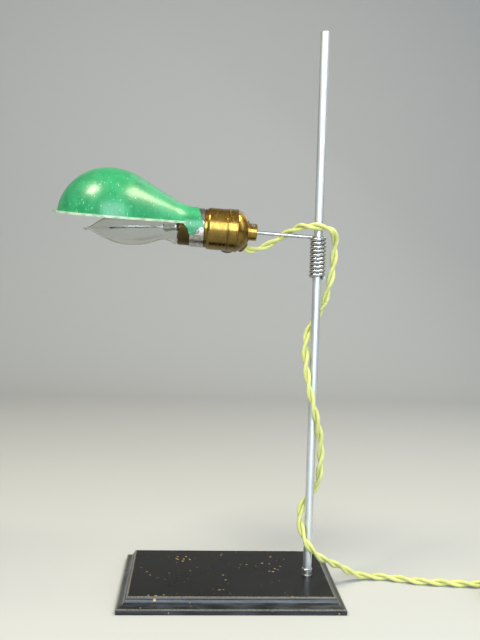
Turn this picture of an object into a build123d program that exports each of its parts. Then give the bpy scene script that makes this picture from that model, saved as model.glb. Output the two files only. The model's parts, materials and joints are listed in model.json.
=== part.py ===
from build123d import *
import math
import os

# Desk lamp: a moulded wooden base, one upright rod, and a steel wire arm whose end is wound round the
# rod, so that it grips the rod and can be slid and swung. The arm holds a brass key socket with a
# tipped bulb and a half shade. A twisted cloth cord runs from the socket, round the rod and away.
# Millimetres. Origin: centre of the base's underside. +Z up, +X towards the rod, -Y towards the user.

# ---- driving dimensions -------------------------------------------------------------------------

BASE_LENGTH, BASE_DEPTH, BASE_HEIGHT = 200.0, 133.0, 12.7
MOULDING_WIDTH = 10.0            # from the outer edge to the flat top

ROD_RADIUS = 3.97                # 5/16 in bar
ROD_TOP = 514.0
ROD_X = 73.2
WIRE_RADIUS = 1.7                # 10 gauge spring wire
WIRE_CLEARANCE = 0.05            # between the coil and the rod
COIL_RADIUS = ROD_RADIUS + WIRE_CLEARANCE + WIRE_RADIUS
COIL_PITCH = 3.61
COIL_TURNS = 10.25
ROD_Y = -COIL_RADIUS             # so that the arm, a tangent to the coil, lies in the plane y = 0
ARM_HEIGHT = 328.7               # of the arm's line where it meets the rod
ARM_RISE = 3.0                   # degrees, towards the head

# Stations along the arm's line are measured from the rod, outwards.
HUB_FACE, HUB_RADIUS = 56.4, 7.8
CAP_START, CAP_RIB, CAP_END = 64.3, 75.0, 83.2
SHELL_RADIUS = 19.05             # 1 1/2 in socket shell
SHELL_END, MOUTH_END = 102.4, 127.5
THREAD_RADIUS = 17.1             # shade-holder thread outside the socket's mouth
KEY_STATION, KEY_DIP = 81.3, 32.0  # the key points back, and this many degrees down
BAND_START, BAND_END = 104.9, 117.6
BAND_THICKNESS = 0.6
LAMP_CAP_RADIUS = 13.05          # 26 mm screw cap
SCREW_PITCH = 3.63

SHADE_ROLL = -4.8                # degrees about the head's axis: the near side is lower
SHADE_THICKNESS = 0.8
SHADE_RIM = 4.2                  # height of the rim's plane above the head's axis
SHADE_FLANGE = 4.8
SHADE_MIDDLE = 191.1             # station of the widest point
SHADE_FRONT_RADIUS, SHADE_BACK_RADIUS, SHADE_NECK_BEND = 47.2, 55.0, 36.0
SHADE_NECK_RADIUS = 18.65
SHADE_SLOPE = 27.9               # degrees, of the straight flank

BULB_TILT = 5.7                  # degrees: the glass droops on its cap
BULB_PIVOT = 122.0
GLASS_THICKNESS = 0.7

CORD_RADIUS = 3.6                # two cloth-covered strands, twisted
CORD_COIL_CENTRE = (284.0, -50.0)
CORD_COIL_RADIUS = 43.0          # to the middle of the turns
CORD_COIL_LIFT = 0.9             # the coil lies on its tie
TIE_THICKNESS, TIE_WIDTH, TIE_ANGLE = 0.7, 9.0, -50.0
PLUG_REAR_RADIUS, PLUG_FRONT_RADIUS, PLUG_LENGTH = 7.0, 15.5, 30.0

os.makedirs("parts", exist_ok=True)


# ---- helpers ------------------------------------------------------------------------------------

def save(name, shape):
    """Write one piece, or a group of identical pieces, as its own file."""
    shape.label = name
    export_step(shape, f"parts/{name}.step")


def turned(outline):
    """A body turned about Z from a closed outline of (radius, station) points."""
    return revolve(Plane.XZ * make_face(Polyline(*outline, close=True)), Axis.Z)


def turned_from(edges):
    """A body turned about Z from a closed outline of edges drawn in (radius, station)."""
    return revolve(Plane.XZ * make_face(edges), Axis.Z)


def tube(outer, inner, low, high):
    """A plain tube about Z."""
    return turned([(inner, low), (outer, low), (outer, high), (inner, high)])


def rod_along(location, radius, low, high):
    """A plain cylinder along a location's Z axis."""
    return location * Pos(0, 0, (low + high) / 2) * Cylinder(radius, high - low)


def ribs(crest, root, low, high, pitch):
    """Points up a ringed wall, which stands for a rolled thread."""
    points = []
    for n in range(int((high - low) / pitch)):
        z = low + n * pitch
        points += [(root, z), (crest, z + 0.3 * pitch), (crest, z + 0.55 * pitch), (root, z + 0.85 * pitch)]
    return points


def arc(centre, radius, start, end):
    """An arc in the drawing plane, between two angles in degrees."""
    def at(angle):
        a = math.radians(angle)
        return (centre[0] + radius * math.cos(a), centre[1] + radius * math.sin(a))
    return ThreePointArc(at(start), at((start + end) / 2), at(end))


def chain(*pieces):
    """A closed outline: tuples are corners, and edges are taken as they are, joined by straight lines."""
    edges, last, first = [], None, None
    for piece in pieces:
        start = Vector(*piece) if isinstance(piece, tuple) else piece @ 0
        if last is not None and (start - last).length > 1e-6:
            edges.append(Line(last, start))
        if not isinstance(piece, tuple):
            edges.append(piece)
        last = start if isinstance(piece, tuple) else piece @ 1
        first = first or start
    edges.append(Line(last, first))
    return edges


# The head's own frame: Z runs out along the arm's line from the rod, X is up, Y is away from the user.
rise = math.radians(ARM_RISE)
HEAD = Location(Plane(origin=(ROD_X, 0, ARM_HEIGHT), x_dir=(math.sin(rise), 0, math.cos(rise)),
                      z_dir=(-math.cos(rise), 0, math.sin(rise))))
SHADE = HEAD * Rot(0, 0, SHADE_ROLL)
BULB = HEAD * Pos(0, 0, BULB_PIVOT) * Rot(0, -BULB_TILT, 0) * Pos(0, 0, -BULB_PIVOT)


def radial(station, angle, tilt=0.0):
    """In the head's frame, a location whose Z points out sideways at an angle from up, turning away
    from the user, and leans back towards the rod by tilt."""
    a, t = math.radians(angle), math.radians(tilt)
    out = (math.cos(a) * math.cos(t), math.sin(a) * math.cos(t), -math.sin(t))
    return HEAD * Location(Plane(origin=(0, 0, station), x_dir=(-math.sin(a), math.cos(a), 0), z_dir=out))


# ---- base and rod -------------------------------------------------------------------------------

def moulding(half, length):
    """The base's section, from edge to edge, pulled out to a length."""
    band, ledge, cove_top, bead = 5.0, 1.7, 10.6, 2.0
    inner = half - MOULDING_WIDTH
    cove_end = inner + bead + 0.5
    right = [
        Line((0, 0), (half - 0.6, 0)),
        arc((half - 0.6, 0.6), 0.6, -90, 0),
        Line((half, 0.6), (half, band - 1.0)),
        arc((half - 1.0, band - 1.0), 1.0, 0, 90),
        Line((half - 1.0, band), (half - ledge, band)),
        RadiusArc((half - ledge, band), (cove_end, cove_top), 8.0),
        Line((cove_end, cove_top), (inner + bead, BASE_HEIGHT - bead)),
        arc((inner, BASE_HEIGHT - bead), bead, 0, 90),
        Line((inner, BASE_HEIGHT), (0, BASE_HEIGHT)),
        Line((0, BASE_HEIGHT), (0, 0)),
    ]
    side = make_face(right)
    both = side + mirror(side, Plane.YZ)
    return extrude(Plane.XZ * both, length / 2, both=True)


COUNTERBORE_RADIUS, COUNTERBORE_DEPTH = 10.5, 7.0


def base_board():
    """The mitred moulding is what the board's two long sections have in common."""
    board = moulding(BASE_LENGTH / 2, BASE_DEPTH) & Rot(0, 0, 90) * moulding(BASE_DEPTH / 2, BASE_LENGTH)
    board -= Pos(ROD_X, ROD_Y, 0) * tube(ROD_RADIUS + 0.05, 0, -1, BASE_HEIGHT + 1)
    board -= Pos(ROD_X, ROD_Y, 0) * tube(COUNTERBORE_RADIUS, 0, -1, COUNTERBORE_DEPTH)
    return board


def rod():
    chamfer_size, ring_drop, ring_depth, foot = 0.9, 4.2, 0.15, 1.0
    return Pos(ROD_X, ROD_Y, 0) * turned([
        (0, foot), (ROD_RADIUS - 0.6, foot), (ROD_RADIUS, foot + 0.6),
        (ROD_RADIUS, ROD_TOP - ring_drop), (ROD_RADIUS - ring_depth, ROD_TOP - ring_drop + 0.2),
        (ROD_RADIUS, ROD_TOP - ring_drop + 0.4), (ROD_RADIUS, ROD_TOP - chamfer_size),
        (ROD_RADIUS - chamfer_size, ROD_TOP), (0, ROD_TOP)])


FERRULE_HEIGHT, FERRULE_RADIUS = 6.5, 4.8


def rod_ferrule():
    """A thin sleeve over the joint between rod and board."""
    inner, low, high = ROD_RADIUS + 0.04, BASE_HEIGHT, BASE_HEIGHT + FERRULE_HEIGHT
    waist = FERRULE_RADIUS - 0.15
    return Pos(ROD_X, ROD_Y, 0) * turned([
        (inner, low), (FERRULE_RADIUS, low), (FERRULE_RADIUS, low + 1.0), (waist, low + 1.2),
        (waist, high - 1.0), (FERRULE_RADIUS, high - 0.8), (FERRULE_RADIUS, high - 0.3),
        (FERRULE_RADIUS - 0.3, high), (inner, high)])


WASHER_THICKNESS, NUT_HEIGHT = 1.4, 4.6


def rod_washer():
    low = COUNTERBORE_DEPTH - WASHER_THICKNESS
    return Pos(ROD_X, ROD_Y, 0) * tube(9.0, ROD_RADIUS + 0.1, low, COUNTERBORE_DEPTH)


def rod_nut():
    flats, corner = 12.7, 6.5
    hexagon = extrude(RegularPolygon(flats / 2, 6, major_radius=False), NUT_HEIGHT)
    crown = turned([(0, 0), (corner, 0), (corner + 0.9, 0.6), (corner + 0.9, NUT_HEIGHT - 0.6),
                    (corner, NUT_HEIGHT), (0, NUT_HEIGHT)])
    nut = (hexagon & crown) - tube(ROD_RADIUS + 0.03, 0, -1, NUT_HEIGHT + 1)
    return Pos(ROD_X, ROD_Y, COUNTERBORE_DEPTH - WASHER_THICKNESS - NUT_HEIGHT) * nut


# ---- wire arm -----------------------------------------------------------------------------------

ARM_END = HUB_FACE + 6.4
ARM_BORE_RADIUS = WIRE_RADIUS + 0.08
TAIL_LENGTH = 3.2                # the coil's cut end, which runs straight on


def arm_wire():
    """One wire: a cut tail, a close coil up the rod, and the straight arm that leaves from behind it."""
    drop = COIL_PITCH * COIL_TURNS
    turn = 90 - 360 * (COIL_TURNS % 1)
    helix = Location((ROD_X, ROD_Y, ARM_HEIGHT - drop), (0, 0, turn)) * Helix(COIL_PITCH, drop, COIL_RADIUS)
    tail = Line(helix @ 0 - (helix % 0) * TAIL_LENGTH, helix @ 0)
    straight = Line(helix @ 1, (HEAD * Pos(0, 0, ARM_END)).position)
    path = Wire([tail.edge(), helix.edge(), straight.edge()])
    section = Plane(origin=path @ 0, z_dir=path % 0) * Circle(WIRE_RADIUS)
    return sweep(section, path, transition=Transition.TRANSFORMED)


# ---- socket -------------------------------------------------------------------------------------

HUB_SCREW_STATION, HUB_SCREW_ANGLE, HUB_SCREW_RADIUS = 60.3, -42.0, 1.9
CORD_HOLE_ANGLE, CORD_HOLE_LEAN, CORD_HOLE_RADIUS = 150.0, 52.0, 4.9
KEY_ANGLE = 90.0 + KEY_DIP
KEY_STEM_RADIUS = 1.4


def socket_hub():
    """The boss that takes the arm's end, with a spigot riveted into the cap."""
    spigot, depth = 6.6, 2.6
    hub = turned([(0, HUB_FACE), (HUB_RADIUS - 0.6, HUB_FACE), (HUB_RADIUS, HUB_FACE + 0.6),
                  (HUB_RADIUS, CAP_START - 1.4), (HUB_RADIUS + 0.5, CAP_START - 1.0),
                  (HUB_RADIUS + 0.5, CAP_START), (spigot, CAP_START), (spigot, CAP_START + depth),
                  (0, CAP_START + depth)])
    hub = HEAD * (hub - tube(ARM_BORE_RADIUS, 0, HUB_FACE - 1, ARM_END + 0.2))
    return hub - rod_along(radial(HUB_SCREW_STATION, HUB_SCREW_ANGLE), HUB_SCREW_RADIUS + 0.05, 0.5, 12)


def hub_set_screw():
    """A slotted grub screw that bites on the arm's wire."""
    low, high, slot_width, slot_depth = WIRE_RADIUS + 0.1, HUB_RADIUS + 0.5, 0.7, 0.9
    screw = turned([(0, low), (HUB_SCREW_RADIUS - 0.7, low), (HUB_SCREW_RADIUS, low + 0.7),
                    (HUB_SCREW_RADIUS, high - 0.3), (HUB_SCREW_RADIUS - 0.3, high), (0, high)])
    screw -= Pos(0, 0, high - slot_depth / 2) * Box(6, slot_width, slot_depth)
    return radial(HUB_SCREW_STATION, HUB_SCREW_ANGLE) * screw


CAP_WALL, CAP_SKIRT_RADIUS = 0.65, 19.4
DOME_TOP = 10.4                  # radius of the flat ring round the hub


def dome(wall):
    """Three points of the arc of the cap's dome, from the ring round the hub to the skirt."""
    return [(DOME_TOP - 0.3 * wall, CAP_START + 0.5 + wall), (15.7 - 0.75 * wall, 68.5 + 0.7 * wall),
            (CAP_SKIRT_RADIUS - 0.4 - wall, CAP_RIB - 0.7)]


def socket_cap():
    skirt, rib, hole = CAP_SKIRT_RADIUS, 0.35, 6.7
    cap = HEAD * turned_from(chain(
        (hole, CAP_START), (DOME_TOP, CAP_START), ThreePointArc(*dome(0.0)),
        (skirt + rib, CAP_RIB - 0.3), (skirt + rib, CAP_RIB + 0.5), (skirt, CAP_RIB + 0.9),
        (skirt, CAP_END - 1.3), (skirt + rib, CAP_END - 0.9), (skirt + rib, CAP_END - 0.3),
        (skirt, CAP_END), (skirt - CAP_WALL, CAP_END), (skirt - CAP_WALL, CAP_RIB + 0.3),
        ThreePointArc(*reversed(dome(CAP_WALL))), (hole, CAP_START + 0.5 + CAP_WALL)))
    cap -= rod_along(cord_hole(), CORD_HOLE_RADIUS + 0.05, -4, 8)
    return cap - rod_along(radial(KEY_STATION, KEY_ANGLE), KEY_STEM_RADIUS + 0.35, 12, 30)


def cord_hole():
    """Where the cord leaves the cap: low on the far side of the dome, square to its surface."""
    a = math.radians(CORD_HOLE_ANGLE)
    distance, station = 15.2, 68.3
    shift = Pos(distance * math.cos(a), distance * math.sin(a), 0)
    lean = radial(station, CORD_HOLE_ANGLE, CORD_HOLE_LEAN)
    return Location(Plane(origin=(HEAD * shift * Pos(0, 0, station)).position, z_dir=Plane(lean).z_dir))


def cord_bushing():
    """A fibre grommet in the cap's hole, drawn in to the size of the cord."""
    bore, flange = CORD_RADIUS + 0.15, CORD_HOLE_RADIUS + 0.9
    return cord_hole() * turned([
        (bore + 0.5, -1.6), (CORD_HOLE_RADIUS, -1.6), (CORD_HOLE_RADIUS, 0.75), (flange, 0.75),
        (flange, 1.3), (flange - 0.7, 2.0), (bore + 0.3, 2.0), (bore, 1.6), (bore, -1.2)])


def cap_liner():
    """A fibre cup inside the cap's skirt."""
    outer = CAP_SKIRT_RADIUS - CAP_WALL - 0.75
    return HEAD * tube(outer, outer - 0.4, CAP_RIB + 0.2, CAP_RIB + 2.6)


def socket_shell():
    """The shell's spigot snaps into the cap; its mouth carries the shade-holder thread."""
    spigot, wall, mouth_wall = CAP_SKIRT_RADIUS - CAP_WALL - 0.05, 0.6, 0.5
    root, pitch = THREAD_RADIUS - 0.45, 1.1
    outer = [(spigot, CAP_RIB + 3.0), (spigot, CAP_END + 0.1), (SHELL_RADIUS, CAP_END + 0.1),
             (SHELL_RADIUS + 0.3, CAP_END + 0.5), (SHELL_RADIUS + 0.3, CAP_END + 0.9),
             (SHELL_RADIUS, CAP_END + 1.4), (SHELL_RADIUS, SHELL_END - 2.4),
             (SHELL_RADIUS - 0.35, SHELL_END - 1.0), (SHELL_RADIUS - 1.1, SHELL_END - 0.1),
             (17.3, SHELL_END), (17.3, SHELL_END + 0.5), (17.9, SHELL_END + 0.8),
             (17.9, SHELL_END + 1.7), (17.3, SHELL_END + 2.0), (root, SHELL_END + 2.1)]
    outer += ribs(THREAD_RADIUS, root, SHELL_END + 2.3, MOUTH_END - 0.6, pitch)
    outer += [(root, MOUTH_END - 0.6), (THREAD_RADIUS, MOUTH_END - 0.4), (THREAD_RADIUS, MOUTH_END)]
    inner = [(root - mouth_wall, MOUTH_END), (root - mouth_wall, SHELL_END + 0.7),
             (SHELL_RADIUS - 1.1, SHELL_END + 0.6 - 1.2), (spigot - wall, SHELL_END - 2.0),
             (spigot - wall, CAP_RIB + 3.0)]
    shell = HEAD * turned(outer + inner)
    return shell - rod_along(radial(KEY_STATION, KEY_ANGLE), KEY_STEM_RADIUS + 0.35, 12, 30)


def shell_liner():
    """The insulating sleeve between the shell and what is live."""
    outer = CAP_SKIRT_RADIUS - CAP_WALL - 0.05 - 0.6 - 0.1
    liner = HEAD * tube(outer, outer - 0.5, CAP_RIB + 3.0, SHELL_END - 3.0)
    return liner - rod_along(radial(KEY_STATION, KEY_ANGLE), KEY_STEM_RADIUS + 0.35, 12, 30)


BODY_RADIUS, BODY_BACK, BODY_FRONT = 17.2, 73.0, 96.5
TERMINAL_SPACING, TERMINAL_SCREW_RADIUS, TERMINAL_DEPTH = 17.0, 1.5, 78.0
ROTOR_RADIUS = 5.2
SEAT = 93.5                      # station of the screw shell's base


def porcelain_body():
    """The porcelain block that holds the contacts and the switch."""
    block = turned([(0, BODY_BACK), (BODY_RADIUS - 3, BODY_BACK), (BODY_RADIUS - 1.5, BODY_BACK + 3),
                    (BODY_RADIUS - 1.5, BODY_BACK + 4), (BODY_RADIUS, BODY_BACK + 5),
                    (BODY_RADIUS, BODY_FRONT), (14.5, BODY_FRONT), (14.5, SEAT), (0, SEAT)])
    block = HEAD * block
    key = radial(KEY_STATION, KEY_ANGLE)
    block -= rod_along(key, KEY_STEM_RADIUS + 0.35, 0, 20)
    block -= rod_along(key, ROTOR_RADIUS + 0.5, 4.0, 12.0)
    for place in terminal_places():
        block -= rod_along(place, TERMINAL_SCREW_RADIUS, BODY_BACK - 1, TERMINAL_DEPTH + 0.5)
    return block


def terminal_places():
    """The axes of the two terminals, one on each side of the key's axis."""
    turn = HEAD * Rot(0, 0, KEY_ANGLE - 90)
    return [turn * Pos(side * TERMINAL_SPACING / 2, 0, 0) for side in (-1, 1)]


def terminal_screws():
    """Two screws that clamp the cord's conductors to the block's back."""
    head, height = 2.8, 1.6
    shape = turned([(0, BODY_BACK - height - 0.9), (head - 0.6, BODY_BACK - height - 0.9),
                    (head, BODY_BACK - 1.6), (head, BODY_BACK - 0.9),
                    (TERMINAL_SCREW_RADIUS - 0.05, BODY_BACK - 0.9),
                    (TERMINAL_SCREW_RADIUS - 0.05, TERMINAL_DEPTH), (0, TERMINAL_DEPTH)])
    shape -= Pos(0, 0, BODY_BACK - height - 0.9) * Box(8, 0.7, 1.2)
    return Compound(children=[place * shape for place in terminal_places()])


def terminal_plates():
    """The brass plates under the terminal screws."""
    plate = Pos(0, 0, BODY_BACK - 0.45) * (Cylinder(3.4, 0.8) - Cylinder(TERMINAL_SCREW_RADIUS + 0.05, 2))
    return Compound(children=[place * plate for place in terminal_places()])


def socket_leads():
    """The two conductors, from the grommet to the terminals."""
    start = (cord_hole() * Pos(0, 0, -2.4)).position
    leads = []
    for place in terminal_places():
        end = (place * Pos(0, 0, BODY_BACK - 3.6)).position
        first = start + (end - start) * 0.06
        path = Line(first, end)
        section = Plane(origin=first, z_dir=path % 0) * Circle(0.8)
        leads.append(sweep(section, path))
    return Compound(children=leads)


def screw_shell():
    """The threaded brass cup that the bulb's cap screws into."""
    inner, wall, depth, high = LAMP_CAP_RADIUS + 0.2, 0.35, 0.45, 121.5
    inside = [(inner, SEAT + 0.4)] + ribs(inner + depth, inner, 96.0, high, SCREW_PITCH) + [(inner, high)]
    outside = [(inner + wall, high)]
    outside += [(r + wall, z) for r, z in reversed(ribs(inner + depth, inner, 96.0, high, SCREW_PITCH))]
    outside += [(inner + wall, SEAT), (4.0, SEAT), (4.0, SEAT + 0.4)]
    return HEAD * turned(inside + outside)


def centre_contact():
    """A bowed brass leaf in the middle of the cup."""
    leaf = chain((-2.6, SEAT), arc((0, SEAT - 3.0), 4.2, 132, 48), (2.6, SEAT))
    bow = make_face(leaf) & Pos(0, SEAT + 0.8) * Rectangle(8, 1.6)
    return HEAD * extrude(Plane.XZ * bow, 2.0, both=True)


def key_stem():
    """The switch's spindle, with its rotor inside the porcelain."""
    stem = rod_along(Location(), KEY_STEM_RADIUS, 2.0, KEY_ROOT + 4.0)
    collar = rod_along(Location(), 2.6, CAP_SKIRT_RADIUS + 0.6, CAP_SKIRT_RADIUS + 1.6)
    rotor = rod_along(Location(), ROTOR_RADIUS, 5.0, 11.0)
    rotor -= Pos(ROTOR_RADIUS, 0, 8) * Box(5, 20, 3)
    return radial(KEY_STATION, KEY_ANGLE) * (stem + collar + rotor)


KEY_ROOT, KEY_TIP, KEY_WIDTH, KEY_THICKNESS = 22.4, 36.2, 14.0, 3.2


def turn_key():
    """The flat oval key that the fingers turn."""
    length = KEY_TIP - KEY_ROOT
    oval = Pos(0, KEY_ROOT + length / 2) * Ellipse(KEY_WIDTH / 2, length / 2)
    blade = extrude(Plane.XZ * oval, KEY_THICKNESS / 2, both=True)
    shank = rod_along(Location(), 3.0, KEY_ROOT - 0.6, KEY_ROOT + 5.0)
    blade = fillet(blade.edges(), KEY_THICKNESS * 0.3)
    key = blade + shank - rod_along(Location(), KEY_STEM_RADIUS, KEY_ROOT - 2, KEY_ROOT + 4.0)
    return radial(KEY_STATION, KEY_ANGLE) * Rot(0, 0, 90) * key


# ---- shade --------------------------------------------------------------------------------------

RIVET_STATION, RIVET_DIP, RIVET_RADIUS = 111.2, 9.5, 1.2


def shade_form(grow, start):
    """The solid of revolution that the half shade is cut from, grown all over by an amount."""
    slope = math.radians(SHADE_SLOPE)
    middle = SHADE_MIDDLE
    front, back = SHADE_FRONT_RADIUS + grow, SHADE_BACK_RADIUS + grow
    bend, neck = SHADE_NECK_BEND - grow, SHADE_NECK_RADIUS + grow
    back_centre = SHADE_FRONT_RADIUS - SHADE_BACK_RADIUS
    flank_top = (back_centre + back * math.cos(slope), middle - back * math.sin(slope))
    flank_foot_radius = neck + bend * (1 - math.cos(slope))
    drop = (flank_top[0] - flank_foot_radius) / math.sin(slope)
    flank_foot = (flank_foot_radius, flank_top[1] - drop * math.cos(slope))
    bend_centre = (neck + bend, flank_foot[1] - bend * math.sin(slope))
    return turned_from(chain(
        (0, start), (neck, start), (neck, bend_centre[1]),
        arc(bend_centre, bend, 180, 180 - SHADE_SLOPE),
        arc((back_centre, middle), back, -SHADE_SLOPE, 0),
        arc((0, middle), front, 0, 90)))


def below_rim(drop=0.0):
    """What is cut away under the shade: all that is below the rim, and less of the neck."""
    side = Polyline((SHADE_RIM - drop, 300), (SHADE_RIM - drop, 124.5), (-1.0, 119.8), (-6.0, 118.6),
                    (-6.0, 90), (-90, 90), (-90, 300), close=True)
    return extrude(Plane.XZ * make_face(side), 100, both=True)


def shade():
    """Spun steel, enamelled: half a bulb form with a flange round its rim and a neck over the band."""
    inner = shade_form(-SHADE_THICKNESS, 80)
    wall = (shade_form(0, BAND_START + 0.2) - inner) - below_rim()
    neck_end = Polyline((40, 120), (SHADE_NECK_RADIUS - 0.4, 111.0), (2.5, BAND_START + 0.3),
                        (-20, BAND_START + 0.3), (-20, 80), (40, 80), close=True)
    wall -= extrude(Plane.XZ * make_face(neck_end), 60, both=True)
    run = (122.5 + 260) / 2
    slab = Pos(SHADE_RIM + 0.4, 0, run) * Box(0.8, 130, 260 - 122.5)
    edge_slab = Pos(SHADE_RIM + 0.1, 0, run) * Box(1.8, 130, 260 - 122.5)
    flange = (shade_form(SHADE_FLANGE, 80) & slab) - inner
    bead = (shade_form(SHADE_FLANGE, 80) - shade_form(SHADE_FLANGE - 1.3, 70)) & edge_slab
    form = wall + flange + bead
    for side in (-1, 1):
        form -= rod_along(rivet_place(side), RIVET_RADIUS + 0.05, 10, 30)
    return SHADE * form


def rivet_place(side):
    """In the shade's frame, the axis of the rivet on one side."""
    dip = math.radians(RIVET_DIP)
    out = (-math.sin(dip), side * math.cos(dip), 0)
    return Location(Plane(origin=(0, 0, RIVET_STATION), x_dir=(0, 0, 1), z_dir=out))


def shade_band():
    """The bare tinned strip that clamps the shade on the socket's mouth."""
    inner = THREAD_RADIUS + 0.1
    outer = inner + BAND_THICKNESS
    band = turned([(inner, BAND_START), (outer - 0.2, BAND_START), (outer, BAND_START + 0.2),
                   (outer, BAND_END - 0.2), (outer - 0.2, BAND_END), (inner, BAND_END)])
    for side in (-1, 1):
        band -= rod_along(rivet_place(side), RIVET_RADIUS + 0.05, 10, 30)
    return SHADE * band


def band_rivets():
    low, surface = THREAD_RADIUS + 0.15, SHADE_NECK_RADIUS
    rivet = turned([(0, low), (RIVET_RADIUS, low), (RIVET_RADIUS, surface + 0.02), (2.1, surface + 0.02),
                    (1.9, surface + 0.55), (1.2, surface + 0.95), (0, surface + 1.1)])
    return Compound(children=[SHADE * rivet_place(side) * rivet for side in (-1, 1)])


# ---- bulb ---------------------------------------------------------------------------------------

def bulb_cap():
    """The screw cap: a thin brass shell with a rolled thread."""
    root, wall, low, high = LAMP_CAP_RADIUS - 0.5, 0.35, 99.4, 122.9
    outer = [(9.0, low - 0.6), (11.6, low)] + ribs(LAMP_CAP_RADIUS, root, low + 0.6, high - 3, SCREW_PITCH)
    outer += [(root, high - 2.4), (LAMP_CAP_RADIUS - 0.1, high - 0.6), (LAMP_CAP_RADIUS - 0.1, high)]
    inner = [(root - wall + 0.2, high), (root - wall, high - 2.4), (root - wall, low + 0.6), (9.0, low)]
    return HEAD * turned(outer + inner)


def bulb_insulator():
    """Black glass between the cap and its centre contact."""
    return HEAD * turned([(0, 96.2), (4.2, 96.2), (8.9, 98.8), (8.9, 99.6), (0, 99.6)])


def bulb_contact():
    return HEAD * turned([(0, 95.2), (2.6, 95.4), (3.8, 96.2), (0, 96.2)])


def envelope(shrink):
    """Half of the bulb's outline, from its neck to the sealed tip."""
    points = [(15.7, 130.0), (13.5, 136.2), (11.75, 143.4), (13.3, 150.5), (15.3, 158.5), (16.0, 168.5),
              (15.1, 180.0), (11.9, 190.2), (7.4, 199.0), (2.9, 206.4), (1.5, 210.5)]
    points = [(r - shrink * (1.0 if r > 2 else 0.9), z) for r, z in points]
    return Spline(*points, tangents=[(0.12, 1), (-0.1, 1)])


def bulb_glass():
    """Blown clear glass, waisted above its shoulder and drawn to a sealed tip."""
    outside, inside = envelope(0.0), envelope(GLASS_THICKNESS)
    neck, low, bore = 11.3, 116.5, 11.3 - GLASS_THICKNESS
    return BULB * turned_from(chain(
        (neck, low), (neck, 124.3), ThreePointArc((neck, 124.3), (13.9, 126.9), outside @ 0), outside,
        (0.9, 213.4), (0, 214.4), (0, (inside @ 1).Y), inside.reversed(),
        ThreePointArc(inside @ 0, (13.3, 127.5), (bore, 125.0)), (bore, low)))


def bulb_stem():
    """The glass stem that is sealed into the neck and carries the filament's leads."""
    return BULB * turned([(0, 117.0), (10.5, 117.0), (10.5, 118.0), (5.0, 121.0), (3.6, 125.0), (3.2, 133.0),
                          (4.2, 138.0), (3.9, 141.0), (2.0, 142.4), (0, 142.4)])


LEAD_SPREAD, LEAD_END = 4.0, 156.0


def bulb_leads():
    leads = []
    for side in (-1, 1):
        path = Line((0, side * 2.0, 142.4), (0, side * LEAD_SPREAD, LEAD_END))
        section = Plane(origin=path @ 0, z_dir=path % 0) * Circle(0.3)
        leads.append(BULB * sweep(section, path))
    return Compound(children=leads)


def filament():
    """The carbon filament: one thin wire, bent up and down twice."""
    top, dip, out, inside = 190.0, 166.0, 6.2, 2.0
    path = FilletPolyline((0, LEAD_SPREAD, LEAD_END), (0, out, top), (0, inside, top + 1), (0, 0, dip),
                          (0, -inside, top + 1), (0, -out, top), (0, -LEAD_SPREAD, LEAD_END), radius=1.6)
    section = Plane(origin=path @ 0, z_dir=path % 0) * Circle(0.22)
    return BULB * sweep(section, path)


# ---- cord ---------------------------------------------------------------------------------------

# From the socket's grommet over the arm, round the rod, down it twice, and along the table.
ROUTE = [
    (3.0, 7.1, 320.2), (9.8, 9.9, 315.1), (18.2, 11.8, 316.3), (28.5, 12.4, 320.6), (39.0, 9.8, 327.3),
    (48.5, 5.6, 334.4), (57.5, -4.2, 338.6), (67.0, -12.8, 338.6), (77.5, -16.4, 337.4), (85.6, -13.4, 334.4),
    (88.9, -7.6, 327.0), (88.4, -5.4, 314.0), (88.2, -5.0, 302.0), (86.0, -4.4, 290.0), (83.4, -3.4, 278.0),
    (81.6, -0.6, 267.0), (76.5, 2.8, 257.5), (69.6, 2.6, 247.5), (65.2, -1.6, 235.0), (64.7, -7.4, 216.0),
    (67.2, -12.4, 195.0), (72.4, -14.6, 174.0), (78.2, -12.8, 155.0), (82.0, -7.0, 137.0), (82.6, -4.2, 117.0),
    (82.0, -1.8, 101.5), (78.2, 2.0, 91.5), (71.2, 3.4, 84.5), (65.8, -0.6, 75.5), (64.4, -7.0, 63.0),
    (67.4, -12.8, 51.0), (74.0, -15.2, 40.5), (83.5, -12.5, 31.4), (95.0, -6.0, 24.4), (107.0, 2.5, 17.0),
    (119.0, 9.5, 8.6), (133.0, 13.6, 3.6), (151.0, 13.8, 3.6), (169.0, 7.0, 3.6), (187.0, 1.2, 3.6),
    (207.0, -0.8, 3.6), (228.0, -4.6, 3.6), (250.0, -3.2, 3.7), (268.0, -3.4, 4.3),
]
# Where the cord passes from one moving piece to the next: the middle of the run after each of these.
CORD_SPANS = {"cord_head": (0, 4), "cord_top": (4, 11), "cord_side": (11, 15), "cord_rod": (15, 35),
              "cord_table": (35, len(ROUTE) - 1)}
TAIL = [(296.0, -3.6, 11.7), (308.0, -3.6, 9.6), (320.0, -4.4, 5.2), (333.0, -5.6, 3.6)]
PLUG_CENTRE, PLUG_HEADING = (356.0, -10.0), -12.0


def middle(a, b):
    return tuple((p + q) / 2 for p, q in zip(a, b))


def bend_radii(points):
    """The largest arc that each corner's two runs allow."""
    radii = []
    for before, corner, after in zip(points, points[1:], points[2:]):
        a, b = Vector(*corner) - Vector(*before), Vector(*after) - Vector(*corner)
        half_turn = math.radians(a.get_angle(b)) / 2
        radii.append(0.45 * min(a.length, b.length) / math.tan(half_turn))
    return radii


def cord_tube(name, points, radii):
    path = FilletPolyline(*points, radius=radii)
    section = Plane(origin=path @ 0, z_dir=path % 0) * Circle(CORD_RADIUS)
    solid = sweep(section, path)
    expected = math.pi * CORD_RADIUS ** 2 * path.length
    print(f"{name}: length {path.length:.1f}, volume ratio {solid.volume / expected:.4f},",
          "radii", [round(r, 1) for r in radii])
    return solid


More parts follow.
